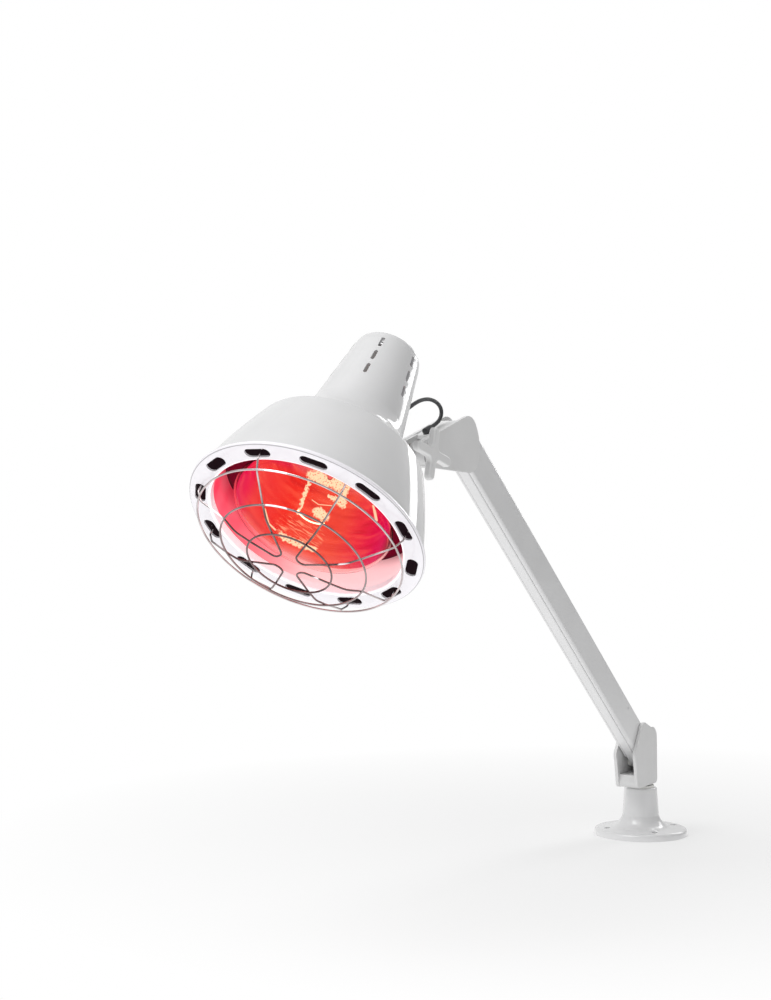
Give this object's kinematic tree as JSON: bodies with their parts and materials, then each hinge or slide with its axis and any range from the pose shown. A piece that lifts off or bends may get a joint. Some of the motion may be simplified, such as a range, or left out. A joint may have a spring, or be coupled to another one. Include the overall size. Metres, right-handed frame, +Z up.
{
  "type": "infrared heat therapy lamp",
  "caption": "Infrared therapy lamp: a red reflector bulb in a vented white shade with a wire guard, on a spring-balanced arm that lifts, swivels and tilts from a screw-down foot.",
  "frame": {"origin": "middle of the mounting foot's underside, on the vertical axis that the arm swivels about", "axes": "+Z up, +X the way the arm and the shade face, +Y the side of the cross knob"},
  "size_m": [0.7604, 0.187, 0.4797],
  "materials": {
    "shade_paint": "gloss white enamel",
    "ring_paint": "gloss white enamel",
    "guard_wire": "bright plated wire",
    "red_glass": "red stained reflector bulb",
    "cap_brass": "plain",
    "holder_ceramic": "glazed",
    "arm_paint": "gloss light grey enamel",
    "link_paint": "gloss light grey enamel",
    "knuckle_plastic": "satin moulding",
    "knob_plastic": "satin moulding",
    "bracket_paint": "gloss light grey enamel",
    "pin_steel": "bright",
    "spring_steel": "oiled",
    "foot_paint": "gloss light grey enamel",
    "bush_plastic": "plain",
    "washer_fibre": "plain",
    "cable_rubber": "matt"
  },
  "bodies": {
    "base": {"mounting_foot": "foot_paint", "swivel_bush": "bush_plastic", "swivel_stop_screw": "pin_steel"},
    "lower_knuckle": {"lower_knuckle_near": "knuckle_plastic", "lower_knuckle_far": "knuckle_plastic", "lower_knuckle_screws": "pin_steel", "swivel_spigot": "pin_steel", "lower_arm_pin": "pin_steel", "lower_link_pin": "pin_steel", "lower_link_washers": "bush_plastic", "mains_grommet": "cable_rubber"},
    "upper_channel": {"upper_channel": "arm_paint", "upper_spring_pin": "pin_steel", "balance_spring": "spring_steel", "spring_hooks": "spring_steel"},
    "lower_channel": {"lower_channel": "link_paint", "lower_spring_pin": "pin_steel"},
    "upper_knuckle": {"upper_knuckle_near": "knuckle_plastic", "upper_knuckle_far": "knuckle_plastic", "upper_knuckle_screws": "pin_steel", "upper_arm_pin": "pin_steel", "upper_link_pin": "pin_steel", "upper_link_washers": "bush_plastic", "friction_washers": "washer_fibre", "tilt_bolt": "pin_steel", "cable_boot": "cable_rubber", "head_cable": "cable_rubber"},
    "knob": {"cross_knob": "knob_plastic", "knob_insert": "cap_brass"},
    "head": {"shade_shell": "shade_paint", "vent_ring": "ring_paint", "inner_reflector": "ring_paint", "neck_cap": "shade_paint", "guard_ring_outer": "guard_wire", "guard_ring_middle": "guard_wire", "guard_ring_inner": "guard_wire", "guard_loop_top": "guard_wire", "guard_loop_near": "guard_wire", "guard_loop_low": "guard_wire", "guard_loop_far": "guard_wire", "bulb_glass": "red_glass", "bulb_cap": "cap_brass", "bulb_contact": "cap_brass", "lampholder": "holder_ceramic", "holder_contact": "cap_brass", "holder_plate": "pin_steel", "holder_screws": "pin_steel", "cable_grommet": "cable_rubber", "tilt_bracket": "bracket_paint", "bracket_rivets": "pin_steel"}
  },
  "joints": [
    {"name": "base_swivel", "type": "hinge", "parent": "base", "child": "lower_knuckle", "pos_m": [0, 0, 0.049], "axis": [0, 0, 1], "range_deg": [-170, 170]},
    {"name": "arm_lift", "type": "hinge", "parent": "lower_knuckle", "child": "upper_channel", "pos_m": [0.008, 0, 0.0965], "axis": [0, -1, 0], "range_deg": [-34, 24], "deforming": ["balance_spring", "spring_hooks"]},
    {"name": "link_swing", "type": "hinge", "parent": "lower_knuckle", "child": "lower_channel", "pos_m": [0.008, 0, 0.0765], "axis": [0, -1, 0], "range_deg": [-34, 24]},
    {"name": "knuckle_level", "type": "hinge", "parent": "upper_channel", "child": "upper_knuckle", "pos_m": [0.40174, 0, 0.40467], "axis": [0, -1, 0], "range_deg": [-24, 34]},
    {"name": "head_tilt", "type": "hinge", "parent": "upper_knuckle", "child": "head", "pos_m": [0.49034, 0, 0.38437], "axis": [0, 1, 0], "range_deg": [-50, 45], "deforming": ["head_cable"]},
    {"name": "knob_turn", "type": "hinge", "parent": "upper_knuckle", "child": "knob", "pos_m": [0.49034, 0, 0.38437], "axis": [0, 1, 0], "continuous": true}
  ],
  "couplings": [
    {"joint": "link_swing", "follows": "arm_lift", "ratio": 1},
    {"joint": "knuckle_level", "follows": "arm_lift", "ratio": -1}
  ]
}
